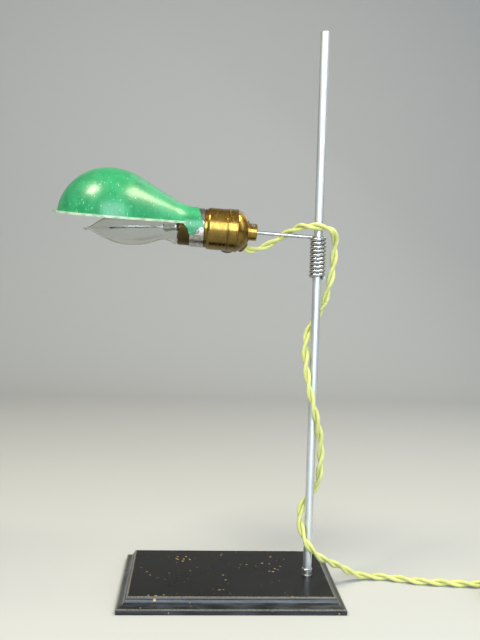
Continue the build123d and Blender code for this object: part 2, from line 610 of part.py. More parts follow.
def cord_pieces():
    """The route's tube, cut where one moving piece hands it to the next."""
    radii = bend_radii(ROUTE)
    for name, (first, last) in CORD_SPANS.items():
        start = ROUTE[0] if first == 0 else middle(ROUTE[first], ROUTE[first + 1])
        final = last == len(ROUTE) - 1
        end = ROUTE[-1] if final else middle(ROUTE[last], ROUTE[last + 1])
        corners = range(first + 1, last if final else last + 1)
        points = [start] + [ROUTE[n] for n in corners] + [end]
        yield name, cord_tube(name, points, [radii[n - 1] for n in corners])


def plug_frame():
    """The plug lies on its side, so its axis climbs by the taper of its body."""
    taper = math.atan((PLUG_FRONT_RADIUS - PLUG_REAR_RADIUS) / PLUG_LENGTH)
    heading = math.radians(PLUG_HEADING)
    out = Vector(math.cos(taper) * math.cos(heading), math.cos(taper) * math.sin(heading), math.sin(taper))
    height = PLUG_REAR_RADIUS * math.cos(taper)
    rear = Vector(PLUG_CENTRE[0], PLUG_CENTRE[1], height)
    side = Vector(0, 0, 1).cross(out).normalized()
    last_run = (height - CORD_RADIUS) / math.sin(taper)
    return Location(Plane(origin=rear, x_dir=side, z_dir=out)), rear, rear - out * last_run


def cord_tail():
    frame, rear, approach = plug_frame()
    points = TAIL + [tuple(approach), tuple(rear)]
    return cord_tube("cord_tail", points, bend_radii(points))


def cord_coil():
    """The outer form of four turns, two wide and two high."""
    size = 4 * CORD_RADIUS
    section = RectangleRounded(size, size, CORD_RADIUS - 0.2)
    section = Pos(CORD_COIL_RADIUS, CORD_COIL_LIFT + size / 2) * section
    return Pos(*CORD_COIL_CENTRE, 0) * revolve(Plane.XZ * section, Axis.Z)


def cord_tie():
    """A strip of tape round the coil's turns."""
    gap, size = 0.3, 4 * CORD_RADIUS
    inner_width, inner_height = size + 2 * gap, size + 0.3
    low = CORD_COIL_LIFT - 0.15
    def block(extra, length):
        shape = RectangleRounded(inner_width + 2 * extra, inner_height + 2 * extra, CORD_RADIUS - 0.4 + extra)
        face = Pos(CORD_COIL_RADIUS, low + inner_height / 2) * shape
        return extrude(Plane.XZ * face, length / 2, both=True)
    tie = block(TIE_THICKNESS, TIE_WIDTH) - block(0.0, TIE_WIDTH + 2)
    return Pos(*CORD_COIL_CENTRE, 0) * Rot(0, 0, TIE_ANGLE) * tie


# ---- plug ---------------------------------------------------------------------------------------

BLADE_SPACING, BLADE_WIDTH, BLADE_THICKNESS, BLADE_LENGTH = 12.7, 6.35, 1.5, 17.0


def plug_body():
    """A two-part moulded plug: a tapered body with a finger groove and a flat front."""
    rear, front, length = PLUG_REAR_RADIUS, PLUG_FRONT_RADIUS, PLUG_LENGTH
    slope = (front - rear) / length
    body = turned([(0, 0), (rear - 0.5, 0), (rear, 0.5), (rear + 4 * slope, 4),
                   (rear + 9 * slope - 1.2, 9), (rear + 15 * slope - 1.8, 15), (rear + 20 * slope, 20),
                   (rear + 20.8 * slope, 20.8), (rear + 21.2 * slope - 0.5, 21.2),
                   (rear + 21.8 * slope - 0.5, 21.8), (rear + 22.2 * slope, 22.2),
                   (front - 0.2, length - 1.0), (front - 0.8, length),
                   (front - 2.2, length), (front - 2.2, length - 1.6), (0, length - 1.6)])
    for side in (-1, 1):
        slot = Box(BLADE_WIDTH + 0.1, BLADE_THICKNESS + 0.1, 10)
        body -= Pos(0, side * BLADE_SPACING / 2, length - 5) * slot
    return plug_frame()[0] * body


def plug_disc():
    """The fibre disc over the plug's screws."""
    low = PLUG_LENGTH - 1.55
    disc = rod_along(Location(), PLUG_FRONT_RADIUS - 2.3, low, low + 0.8)
    for side in (-1, 1):
        disc -= Pos(0, side * BLADE_SPACING / 2, low) * Box(BLADE_WIDTH + 0.2, BLADE_THICKNESS + 0.2, 4)
    return plug_frame()[0] * disc


def plug_blades():
    low, high = PLUG_LENGTH - 9.5, PLUG_LENGTH + BLADE_LENGTH
    blade = Pos(0, 0, (low + high) / 2) * Box(BLADE_WIDTH, BLADE_THICKNESS, high - low)
    blade = chamfer(blade.edges().group_by(Axis.Z)[-1], 0.5)
    blade -= Pos(0, 0, high - 4.0) * Rot(90, 0, 0) * Cylinder(1.6, 4)
    return Compound(children=[plug_frame()[0] * Pos(0, s * BLADE_SPACING / 2, 0) * blade for s in (-1, 1)])


# ---- all pieces ---------------------------------------------------------------------------------

PIECES = [
    base_board, rod, rod_ferrule, rod_washer, rod_nut, arm_wire,
    socket_hub, hub_set_screw, socket_cap, cap_liner, cord_bushing, socket_shell, shell_liner,
    porcelain_body, terminal_screws, terminal_plates, socket_leads, screw_shell, centre_contact,
    key_stem, turn_key, shade, shade_band, band_rivets,
    bulb_cap, bulb_insulator, bulb_contact, bulb_glass, bulb_stem, bulb_leads, filament,
    cord_tail, cord_coil, cord_tie, plug_body, plug_disc, plug_blades,
]

for piece in PIECES:
    save(piece.__name__, piece())
for name, solid in cord_pieces():
    save(name, solid)
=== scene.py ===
import json
import math

import bpy
from mathutils import Matrix, Vector


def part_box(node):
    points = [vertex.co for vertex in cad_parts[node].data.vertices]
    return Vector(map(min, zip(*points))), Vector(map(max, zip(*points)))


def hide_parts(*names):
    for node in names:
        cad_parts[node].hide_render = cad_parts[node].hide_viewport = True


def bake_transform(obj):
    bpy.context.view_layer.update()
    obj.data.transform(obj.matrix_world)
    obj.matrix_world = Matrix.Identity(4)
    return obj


# Desk lamp: a black moulded wooden base, an upright rod, a wire arm coiled round it, and a brass key
# socket with a tipped bulb, a green half shade and a twisted cloth cord. Metres, in the part's frame.

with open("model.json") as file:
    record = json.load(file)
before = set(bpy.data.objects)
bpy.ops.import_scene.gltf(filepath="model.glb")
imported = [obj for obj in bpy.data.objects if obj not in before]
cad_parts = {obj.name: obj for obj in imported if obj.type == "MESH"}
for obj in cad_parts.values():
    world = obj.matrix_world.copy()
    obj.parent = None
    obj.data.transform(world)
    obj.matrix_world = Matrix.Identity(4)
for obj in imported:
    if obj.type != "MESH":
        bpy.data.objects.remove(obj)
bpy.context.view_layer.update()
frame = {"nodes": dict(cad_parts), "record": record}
MM = 0.001


# ---- places -------------------------------------------------------------------------------------

ROD_AXIS = sum(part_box("rod"), Vector()) / 2
ARM_RISE = math.radians(3.0)
ARM_HEIGHT = 0.3287
ARM_POINT = Vector((ROD_AXIS.x, 0.0, ARM_HEIGHT))                   # of the arm's line, beside the rod
OUTWARDS = Vector((-math.cos(ARM_RISE), 0.0, math.sin(ARM_RISE)))   # along the arm, from rod to shade
UPWARDS = Vector((math.sin(ARM_RISE), 0.0, math.cos(ARM_RISE)))
SHADE_ROLL = math.radians(-4.8)
SHADE_UP = Matrix.Rotation(SHADE_ROLL, 3, OUTWARDS) @ UPWARDS


# ---- stage --------------------------------------------------------------------------------------

CAMERA_PLACE = Vector((-0.0414, -0.7285, 0.2945))
CAMERA_YAW, CAMERA_PITCH, CAMERA_ROLL = 3.55, 3.43, 1.61        # degrees
CAMERA_LENS, CAMERA_FILM = 44.47, 36.0                          # millimetres, the film by its height


def new_mesh(name, vertices, faces, smooth=True):
    mesh = bpy.data.meshes.new(name)
    mesh.from_pydata([tuple(v) for v in vertices], [], faces)
    mesh.validate()
    mesh.update()
    if smooth:
        mesh.shade_smooth()
    piece = bpy.data.objects.new(name, mesh)
    bpy.context.scene.collection.objects.link(piece)
    return piece


def camera():
    """In front of the lamp, level with its middle, looking slightly down and slightly rolled."""
    place = CAMERA_PLACE
    yaw, pitch, roll = (math.radians(angle) for angle in (CAMERA_YAW, CAMERA_PITCH, CAMERA_ROLL))
    forward = Vector((math.sin(yaw) * math.cos(pitch), math.cos(yaw) * math.cos(pitch), -math.sin(pitch)))
    level = Vector((math.cos(yaw), -math.sin(yaw), 0.0))
    above = level.cross(forward)
    right = level * math.cos(roll) + above * math.sin(roll)
    up = above * math.cos(roll) - level * math.sin(roll)
    data = bpy.data.cameras.new("camera")
    data.sensor_fit = "VERTICAL"
    data.sensor_height = CAMERA_FILM
    data.lens = CAMERA_LENS
    data.clip_start = 0.01
    body = bpy.data.objects.new("camera", data)
    body.matrix_world = Matrix((
        (right.x, up.x, -forward.x, place.x), (right.y, up.y, -forward.y, place.y),
        (right.z, up.z, -forward.z, place.z), (0, 0, 0, 1)))
    bpy.context.scene.collection.objects.link(body)
    bpy.context.scene.camera = body


def light(name, place, target, size, power, colour):
    """A soft oblong light at one place, facing another."""
    data = bpy.data.lights.new(name, "AREA")
    data.shape = "RECTANGLE"
    data.size, data.size_y = size
    data.energy = power
    data.color = colour
    lamp = bpy.data.objects.new(name, data)
    lamp.location = place
    lamp.rotation_euler = (Vector(target) - Vector(place)).to_track_quat("-Z", "Y").to_euler()
    bpy.context.scene.collection.objects.link(lamp)


def studio():
    """A light grey floor that curves up into a wall, and soft lights."""
    radius, front, back, top, half = 0.5, -3.0, 1.6, 3.0, 4.0
    steps = 24
    profile = [(front, 0.0)]
    for n in range(steps + 1):
        a = math.pi / 2 * n / steps
        profile.append((back - radius + radius * math.sin(a), radius - radius * math.cos(a)))
    profile.append((back, top))
    vertices = [(x, y, z) for y, z in profile for x in (-half, half)]
    faces = [(2 * n, 2 * n + 1, 2 * n + 3, 2 * n + 2) for n in range(len(profile) - 1)]
    sweep = new_mesh("studio_sweep", vertices, faces)
    sweep.data.materials.append(plain("studio_paper", (0.47, 0.475, 0.485), 0.9))
    bpy.context.scene.view_settings.view_transform = "Standard"
    world = bpy.data.worlds.new("studio")
    bpy.context.scene.world = world
    world.use_nodes = True
    world.node_tree.nodes["Background"].inputs["Color"].default_value = (0.92, 0.95, 1.0, 1)
    world.node_tree.nodes["Background"].inputs["Strength"].default_value = 0.22
    light("key_light", (-0.66, -0.38, 1.36), (-0.12, 0, 0.36), (0.40, 0.40), 15, (1.0, 0.93, 0.70))
    light("lamp_light", (0.60, -0.16, 1.32), (-0.09, 0, 0.36), (0.62, 0.34), 13, (1.0, 0.93, 0.66))
    light("window_light", (0.15, -1.60, 0.78), (0, 0, 0.25), (1.30, 1.10), 32, (0.76, 0.88, 1.0))
    light("side_light", (1.5, -0.5, 1.0), (0.05, 0, 0.25), (0.5, 1.2), 5, (0.92, 0.96, 1.0))
    light("back_light", (0.7, 1.0, 1.1), (0, 0, 0.25), (1.0, 1.0), 3, (0.95, 0.97, 1.0))


# ---- materials ----------------------------------------------------------------------------------

class Surface:
    """A node material being put together: each method adds a node and returns its output."""

    def __init__(self, name):
        self.material = bpy.data.materials.new(name)
        self.material.use_nodes = True
        self.tree = self.material.node_tree
        self.shader = self.tree.nodes["Principled BSDF"]

    def add(self, kind, output=0, inputs=None, **settings):
        node = self.tree.nodes.new(kind)
        for key, value in settings.items():
            setattr(node, key, value)
        for key, value in (inputs or {}).items():
            self.give(node.inputs[key], value)
        return node.outputs[output]

    def give(self, socket, value):
        if isinstance(value, bpy.types.NodeSocket):
            self.tree.links.new(value, socket)
        elif socket.type == "RGBA" and len(value) == 3:
            socket.default_value = (*value, 1.0)
        else:
            socket.default_value = value

    def set(self, **inputs):
        for key, value in inputs.items():
            self.give(self.shader.inputs[key.replace("_", " ")], value)
        return self.material

    def place(self):
        return self.add("ShaderNodeTexCoord", "Object")

    def math(self, operation, a, b=0.0, c=0.0, clamp=False):
        return self.add("ShaderNodeMath", 0, {0: a, 1: b, 2: c}, operation=operation, use_clamp=clamp)

    def vector_math(self, operation, a, b=(0.0, 0.0, 0.0)):
        output = "Value" if operation in ("DOT_PRODUCT", "LENGTH", "DISTANCE") else "Vector"
        return self.add("ShaderNodeVectorMath", output, {0: a, 1: b}, operation=operation)

    def parts(self, vector):
        node = self.tree.nodes.new("ShaderNodeSeparateXYZ")
        self.give(node.inputs[0], vector)
        return node.outputs[0], node.outputs[1], node.outputs[2]

    def vector(self, x, y, z):
        return self.add("ShaderNodeCombineXYZ", 0, {0: x, 1: y, 2: z})

    def noise(self, scale, detail=3.0, roughness=0.5, at=None, distortion=0.0):
        return self.add("ShaderNodeTexNoise", "Fac", {
            "Vector": at or self.place(), "Scale": scale, "Detail": detail, "Roughness": roughness,
            "Distortion": distortion})

    def cells(self, scale, at=None, output="Distance", randomness=1.0, feature="F1"):
        return self.add("ShaderNodeTexVoronoi", output, {
            "Vector": at or self.place(), "Scale": scale, "Randomness": randomness}, feature=feature)

    def stretched(self, x, y, z, at=None):
        return self.vector_math("MULTIPLY", at or self.place(), (x, y, z))

    def ramp(self, value, low, high, low_out=0.0, high_out=1.0):
        return self.add("ShaderNodeMapRange", 0, {
            "Value": value, "From Min": low, "From Max": high, "To Min": low_out, "To Max": high_out},
            interpolation_type="SMOOTHSTEP")

    def mix(self, amount, a, b):
        node = self.tree.nodes.new("ShaderNodeMix")
        node.data_type = "RGBA"
        self.give(node.inputs[0], amount)
        self.give(node.inputs[6], a)
        self.give(node.inputs[7], b)
        return node.outputs[2]

    def bump(self, height, distance, strength=1.0, normal=None):
        inputs = {"Height": height, "Distance": distance, "Strength": strength}
        if normal is not None:
            inputs["Normal"] = normal
        return self.add("ShaderNodeBump", 0, inputs)

    def axis_point(self, origin, axis):
        """The point on an axis nearest to the one being shaded."""
        offset = self.vector_math("SUBTRACT", self.place(), tuple(origin))
        reach = self.vector_math("DOT_PRODUCT", offset, tuple(axis))
        run = self.vector_math("MULTIPLY", self.vector(reach, reach, reach), tuple(axis))
        return self.vector_math("ADD", run, tuple(origin))

    def on_axis(self, origin, axis, up):
        """Coordinates about an axis: height above it, distance beside it, and distance along it."""
        side = axis.cross(up)
        offset = self.vector_math("SUBTRACT", self.place(), tuple(origin))
        return tuple(self.vector_math("DOT_PRODUCT", offset, tuple(v)) for v in (up, side, axis))


def plain(name, colour, roughness):
    """For the stage, which is not part of the object."""
    return Surface(name).set(Base_Color=colour, Roughness=roughness)


def cloth_cord():
    """Braided cotton: crossing ribs round each strand, painted shade in the grooves between them, and a
    little soiling.
    """
    s = Surface("cord_cloth")
    along, around, _ = s.parts(s.add("ShaderNodeUVMap", 0, uv_map="along_around"))
    ribs, rows = 7.0, 450.0                     # round a strand, and along a metre of it
    turn = s.math("MULTIPLY", around, ribs * math.tau)
    row = s.math("MULTIPLY", along, rows * math.tau)
    rising = s.math("SINE", s.math("ADD", turn, row))
    falling = s.math("SINE", s.math("SUBTRACT", turn, row))
    braid = s.math("MAXIMUM", rising, falling)
    soil = s.noise(90, 4, 0.6)
    thread = s.noise(2500, 2, 0.6)
    colour = s.mix(s.ramp(soil, 0.35, 0.75), (0.63, 0.65, 0.25), (0.50, 0.52, 0.17))
    # painted shade: darker in the grooves between the braid's ribs
    colour = s.mix(s.ramp(braid, -0.6, 0.6, 0.45, 0.0), colour, (0.40, 0.41, 0.06))
    height = s.math("ADD", s.math("MULTIPLY", braid, 0.5), s.math("MULTIPLY", thread, 0.6))
    return s.set(Base_Color=colour, Roughness=0.85, Sheen_Weight=0.12, Sheen_Roughness=0.5,
                 Normal=s.bump(height, 0.00012, 0.8))


def turned_brass(name, bright, dull, tarnish):
    """Spun brass, with lathe rings, a warm patina, darker spots, handling marks, and painted shade on its
    lower half.
    """
    s = Surface(name)
    up, side, station = s.on_axis(ARM_POINT, OUTWARDS, UPWARDS)
    rings = s.noise(1.0, 2, 0.6, at=s.vector(0.0, 0.0, s.math("MULTIPLY", station, 5200)))
    cloud = s.noise(75, 5, 0.62, distortion=0.6)
    spots = s.noise(420, 3, 0.6)
    drag = s.noise(60, 4, 0.6, at=s.vector(s.math("MULTIPLY", up, 6), s.math("MULTIPLY", side, 6), station))
    colour = s.mix(s.ramp(cloud, 0.36, 0.66), bright, dull)
    colour = s.mix(s.ramp(spots, 0.60, 0.74, 0.0, tarnish), colour, (0.085, 0.055, 0.020))
    colour = s.mix(s.ramp(drag, 0.58, 0.80, 0.0, 0.45), colour, (0.30, 0.17, 0.05))
    mouth = s.ramp(station, 0.1040, 0.1050)
    colour = s.mix(s.math("MULTIPLY", mouth, 0.8), colour, (0.13, 0.085, 0.035))
    # painted shade: the lower half darkened to olive, in place of the dark surroundings it would reflect
    painted_shade_below = s.ramp(s.math("ADD", up, s.math("MULTIPLY", cloud, 0.006)), -0.010, 0.012, 0.82, 0.0)
    colour = s.mix(painted_shade_below, colour, (0.105, 0.085, 0.032))
    rough = s.math("ADD", s.ramp(cloud, 0.3, 0.75, 0.17, 0.34), s.ramp(spots, 0.55, 0.75, 0.0, 0.22))
    rough = s.math("ADD", rough, s.math("MULTIPLY", mouth, 0.15))
    height = s.math("ADD", s.math("MULTIPLY", rings, 0.6), s.math("MULTIPLY", spots, 0.25))
    return s.set(Base_Color=colour, Metallic=1.0, Roughness=rough, Normal=s.bump(height, 0.00006, 0.5))


def plain_brass(name, colour, stain):
    """Drawn or stamped brass that is seldom touched."""
    s = Surface(name)
    cloud = s.noise(160, 4, 0.6)
    fine = s.noise(1500, 2, 0.5)
    shade = s.mix(s.ramp(cloud, 0.40, 0.72), colour, stain)
    return s.set(Base_Color=shade, Metallic=1.0, Roughness=s.ramp(cloud, 0.3, 0.7, 0.24, 0.46),
                 Normal=s.bump(fine, 0.00003, 0.5))


def rod_steel():
    """A drawn bar: faint lines along it, a few dull blooms and fine scratches round it."""
    s = Surface("rod_steel")
    drawn = s.noise(1, 3, 0.6, at=s.stretched(3500, 3500, 12))
    bloom = s.noise(55, 5, 0.6, at=s.stretched(1, 1, 0.35))
    rubbed = s.noise(1, 2, 0.6, at=s.stretched(120, 120, 2600))
    colour = s.mix(s.ramp(bloom, 0.38, 0.68), (0.80, 0.84, 0.88), (0.62, 0.66, 0.70))
    colour = s.mix(s.ramp(rubbed, 0.62, 0.75, 0.0, 0.35), colour, (0.80, 0.82, 0.84))
    rough = s.math("ADD", s.ramp(bloom, 0.3, 0.7, 0.38, 0.52), s.ramp(drawn, 0.45, 0.7, 0.0, 0.08))
    return s.set(Base_Color=colour, Metallic=1.0, Roughness=rough, Normal=s.bump(drawn, 0.00003, 0.6))


def wire_steel():
    """Bright spring wire, with painted shade darkening the turns of its coil on their inner side, next to the
    rod.
    """
    s = Surface("wire_steel")
    x, y, _ = s.parts(s.vector_math("SUBTRACT", s.place(), (ROD_AXIS.x, ROD_AXIS.y, 0.0)))
    reach = s.vector_math("LENGTH", s.vector(x, y, 0.0))
    cloud = s.noise(240, 4, 0.6)
    drawn = s.noise(1800, 2, 0.6, at=s.stretched(0.15, 1, 1))
    colour = s.mix(s.ramp(cloud, 0.4, 0.7), (0.50, 0.51, 0.53), (0.34, 0.34, 0.34))
    # painted shade: the coil darkened where it lies within 5.4 to 7 mm of the rod's axis
    colour = s.mix(s.ramp(reach, 0.0054, 0.0070, 0.9, 0.0), colour, (0.10, 0.09, 0.08))
    return s.set(Base_Color=colour, Metallic=1.0, Roughness=s.ramp(cloud, 0.3, 0.7, 0.22, 0.42),
                 Normal=s.bump(drawn, 0.00004, 0.5))


def plated(name, colour, stain, low, high):
    """Small plated or bare metal parts."""
    s = Surface(name)
    cloud = s.noise(300, 4, 0.65)
    scratches = s.noise(1, 2, 0.7, at=s.stretched(900, 2600, 400))
    shade = s.mix(s.ramp(cloud, 0.42, 0.72), colour, stain)
    rough = s.math("ADD", s.ramp(cloud, 0.3, 0.7, low, high), s.ramp(scratches, 0.6, 0.75, 0.0, 0.12))
    return s.set(Base_Color=shade, Metallic=1.0, Roughness=rough, Normal=s.bump(scratches, 0.00004, 0.4))


def base_paint():
    """Black paint over wood: brush marks, dust, chips down to the wood, mouldings rubbed grey with painted
    bluish reflection bands, and pale edge lines that are partly wear and partly a painted highlight.
    """
    s = Surface("base_paint")
    low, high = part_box("base_board")
    half_x, half_y = (high.x - low.x) / 2, (high.y - low.y) / 2
    x, y, z = s.parts(s.place())
    inset = s.math("MAXIMUM", s.math("SUBTRACT", s.math("ABSOLUTE", x), half_x),
                   s.math("SUBTRACT", s.math("ABSOLUTE", y), half_y))
    brushed = s.noise(1, 4, 0.6, at=s.stretched(40, 900, 900))
    cloud = s.noise(28, 5, 0.62)
    dust = s.noise(3200, 2, 0.7)
    flake = s.cells(150, at=s.stretched(1.0, 1.6, 1.0))
    ragged = s.noise(900, 3, 0.7)
    where = s.noise(38, 2, 0.5, at=s.vector_math("ADD", s.place(), (3.1, 1.7, 0.4)))
    chip_size = s.ramp(where, 0.44, 0.74, 0.0, 0.20)
    chips = s.math("LESS_THAN", s.math("ADD", flake, s.math("MULTIPLY", ragged, 0.22)),
                   s.math("ADD", chip_size, 0.125))
    # painted highlight: a pale line along the top bead's edge; the pale line at the foot below it is wear
    arris_highlight = s.math("MULTIPLY",
                   s.ramp(s.math("ABSOLUTE", s.math("ADD", inset, 0.0092)), 0.0, 0.0012, 1.0, 0.0),
                   s.ramp(z, 0.0105, 0.0118))
    foot = s.math("MULTIPLY",
                  s.ramp(s.math("ABSOLUTE", s.math("ADD", inset, 0.0008)), 0.0, 0.0012, 1.0, 0.0),
                  s.ramp(s.math("ABSOLUTE", s.math("SUBTRACT", z, 0.0045)), 0.0, 0.0013, 1.0, 0.0))
    edge_wear_and_highlight = s.math("MULTIPLY", s.math("ADD", arris_highlight, foot, clamp=True), s.ramp(ragged, 0.40, 0.60, 0.3, 1.0))
    black = s.mix(s.ramp(cloud, 0.35, 0.7), (0.0050, 0.0049, 0.0052), (0.011, 0.011, 0.0115))
    moulding = s.ramp(inset, -0.0098, -0.0092)
    # painted reflection: bluish-grey horizontal bands on the moulding, together with grey where the paint is
    # rubbed
    rubbing = s.noise(1, 4, 0.65, at=s.stretched(45, 45, 500))
    rubbed = s.math("MULTIPLY", moulding, s.ramp(rubbing, 0.38, 0.68, 0.15, 0.75))
    black = s.mix(rubbed, black, (0.050, 0.055, 0.066))
    black = s.mix(s.ramp(dust, 0.66, 0.80, 0.0, 0.30), black, (0.12, 0.11, 0.10))
    grain = s.noise(1, 3, 0.6, at=s.stretched(60, 1400, 1400))
    wood = s.mix(s.ramp(grain, 0.35, 0.65), (0.56, 0.38, 0.17), (0.38, 0.23, 0.09))
    bare = s.math("MAXIMUM", chips, s.math("MULTIPLY", edge_wear_and_highlight, 0.6))
    colour = s.mix(s.math("MULTIPLY", edge_wear_and_highlight, 0.55), black, (0.42, 0.38, 0.28))
    colour = s.mix(chips, colour, wood)
    gloss = s.math("MULTIPLY", s.math("MULTIPLY", moulding, 0.6), s.ramp(ragged, 0.40, 0.62, 1.0, 0.55))
    rough = s.math("ADD", s.ramp(cloud, 0.3, 0.75, 0.26, 0.40), s.math("MULTIPLY", bare, 0.35))
    height = s.math("SUBTRACT", s.math("MULTIPLY", brushed, 0.25), s.math("MULTIPLY", chips, 0.5))
    return s.set(Base_Color=colour, Roughness=rough, Specular_IOR_Level=0.10, Coat_Weight=gloss,
                 Coat_Roughness=0.16, Normal=s.bump(height, 0.00012, 0.7))


def enamel():
    """Green enamel outside and cream inside: runs, scratches, chips to bare metal, and a pale rim line that
    is partly rubbed paint and partly a painted highlight.
    """
    s = Surface("shade_enamel")
    up, side, station = s.on_axis(ARM_POINT, OUTWARDS, SHADE_UP)
    radial = s.vector_math("NORMALIZE", s.vector_math(
        "SUBTRACT", s.place(), s.axis_point(ARM_POINT, OUTWARDS)))
    facing = s.vector_math("DOT_PRODUCT", s.add("ShaderNodeTexCoord", "Normal"), radial)
    inside = s.ramp(facing, -0.25, -0.10, 1.0, 0.0)
    cloud = s.noise(42, 5, 0.6, distortion=0.8)
    mottled = s.noise(240, 4, 0.6)
    green = s.mix(s.ramp(cloud, 0.32, 0.70), (0.010, 0.205, 0.072), (0.022, 0.285, 0.115))
    green = s.mix(s.ramp(mottled, 0.55, 0.75, 0.0, 0.35), green, (0.06, 0.34, 0.15))
    cream = s.mix(s.ramp(cloud, 0.35, 0.7), (0.66, 0.63, 0.52), (0.50, 0.46, 0.35))
    lines = s.noise(1, 3, 0.6, at=s.vector(
        s.math("MULTIPLY", up, 45), s.math("MULTIPLY", side, 900), s.math("MULTIPLY", station, 900)))
    scratches = s.ramp(lines, 0.645, 0.69, 0.0, 0.75)
    flake = s.cells(110)
    ragged = s.noise(1300, 3, 0.7)
    where = s.noise(30, 2, 0.5)
    size = s.ramp(where, 0.56, 0.80, 0.0, 0.16)
    edge = s.math("MULTIPLY", s.ramp(up, 0.0020, 0.0064, 1.0, 0.0),
                  s.ramp(s.noise(60, 3, 0.6), 0.35, 0.65, 0.25, 1.0))
    neck = s.math("MULTIPLY", s.ramp(station, 0.104, 0.121, 1.0, 0.0), s.ramp(up, -0.006, 0.007, 1.0, 0.0))
    size = s.math("ADD", size, s.math("ADD", s.math("MULTIPLY", edge, 0.16), s.math("MULTIPLY", neck, 0.62)))
    chips = s.math("LESS_THAN", s.math("ADD", flake, s.math("MULTIPLY", ragged, 0.55)),
                   s.math("ADD", size, 0.212))
    # pale rim line: partly rubbed paint, partly a painted highlight for the light caught by the rolled rim
    rim_wear_and_highlight = s.math("MULTIPLY", s.ramp(up, 0.0050, 0.0056, 1.0, 0.0),
                 s.ramp(s.noise(170, 3, 0.6), 0.30, 0.60, 0.35, 1.0))
    rim_wear_and_highlight = s.math("MULTIPLY", rim_wear_and_highlight, s.ramp(station, 0.120, 0.124))
    paint = s.mix(inside, green, cream)
    paint = s.mix(scratches, paint, (0.42, 0.62, 0.42))
    paint = s.mix(s.math("MULTIPLY", rim_wear_and_highlight, 0.75), paint, (0.62, 0.66, 0.52))
    bare = s.mix(s.ramp(mottled, 0.4, 0.7), (0.70, 0.69, 0.64), (0.30, 0.26, 0.20))
    colour = s.mix(chips, paint, bare)
    rough = s.math("ADD", s.ramp(cloud, 0.3, 0.75, 0.32, 0.46), s.math("MULTIPLY", chips, 0.2))
    rough = s.math("ADD", rough, s.math("MULTIPLY", rim_wear_and_highlight, 0.15))
    height = s.math("SUBTRACT", s.math("MULTIPLY", mottled, 0.20), chips)
    return s.set(Base_Color=colour, Roughness=rough, Metallic=s.math("MULTIPLY", chips, 0.85),
                 Specular_IOR_Level=0.4, Coat_Weight=0.35, Coat_Roughness=0.2,
                 Normal=s.bump(height, 0.00015, 0.6))


def clear_glass(name, tint, rough):
    """Blown glass with faint streaks drawn out along the bulb."""
    s = Surface(name)
    up, side, station = s.on_axis(ARM_POINT, OUTWARDS, UPWARDS)
    streaks = s.noise(1, 3, 0.6, at=s.vector(
        s.math("MULTIPLY", up, 300), s.math("MULTIPLY", side, 300), s.math("MULTIPLY", station, 22)))
    return s.set(Base_Color=tint, Roughness=rough, IOR=1.5, Transmission_Weight=1.0,
                 Normal=s.bump(streaks, 0.0004, 0.6))


def glazed(name, colour, shade):
    """Porcelain: a smooth glaze over a slightly uneven white body."""
    s = Surface(name)
    cloud = s.noise(130, 4, 0.6)
    specks = s.noise(2200, 2, 0.6)
    body = s.mix(s.ramp(cloud, 0.35, 0.7), colour, shade)
    body = s.mix(s.ramp(specks, 0.70, 0.80, 0.0, 0.5), body, (0.25, 0.20, 0.15))
    return s.set(Base_Color=body, Roughness=s.ramp(cloud, 0.3, 0.7, 0.12, 0.25),
                 Normal=s.bump(cloud, 0.0002, 0.4))


def moulded(name, colour, shade, low, high):
    """Black moulded composition, dulled where it has been handled."""
    s = Surface(name)
    cloud = s.noise(110, 5, 0.6)
    grain = s.noise(2600, 2, 0.6)
    body = s.mix(s.ramp(cloud, 0.35, 0.7), colour, shade)
    body = s.mix(s.ramp(grain, 0.62, 0.78, 0.0, 0.4), body, (0.10, 0.075, 0.055))
    return s.set(Base_Color=body, Roughness=s.ramp(cloud, 0.3, 0.7, low, high), Coat_Weight=0.15,
                 Coat_Roughness=0.2, Normal=s.bump(grain, 0.00005, 0.5))


def fibre():
    """Vulcanised fibre board."""
    s = Surface("fibre")
    mat = s.noise(1100, 4, 0.7)
    cloud = s.noise(150, 3, 0.6)
    body = s.mix(s.ramp(mat, 0.3, 0.7), (0.15, 0.065, 0.030), (0.26, 0.14, 0.075))
    body = s.mix(s.ramp(cloud, 0.45, 0.7, 0.0, 0.5), body, (0.08, 0.04, 0.02))
    return s.set(Base_Color=body, Roughness=0.75, Normal=s.bump(mat, 0.0001, 0.6))


def woven_tape():
    """Black cotton tape with crossing threads."""
    s = Surface("tie_tape")
    x, y, _ = s.parts(s.place())
    threads = 9000                              # radians of weave in a metre
    warp = s.math("SINE", s.math("MULTIPLY", s.math("ADD", x, y), threads))
    weft = s.math("SINE", s.math("MULTIPLY", s.math("SUBTRACT", x, y), threads))
    weave = s.math("MULTIPLY", warp, weft)
    fuzz = s.noise(1800, 3, 0.7)
    body = s.mix(s.ramp(fuzz, 0.35, 0.7), (0.014, 0.013, 0.014), (0.045, 0.043, 0.042))
    return s.set(Base_Color=body, Roughness=0.9, Sheen_Weight=0.4, Normal=s.bump(weave, 0.0001, 0.7))


def carbon():
    """The lamp's dull black filament."""
    s = Surface("filament_carbon")
    grain = s.noise(5000, 2, 0.6)
    body = s.mix(grain, (0.020, 0.019, 0.019), (0.06, 0.055, 0.05))
    return s.set(Base_Color=body, Roughness=0.6, Metallic=0.3, Normal=s.bump(grain, 0.00002, 0.5))


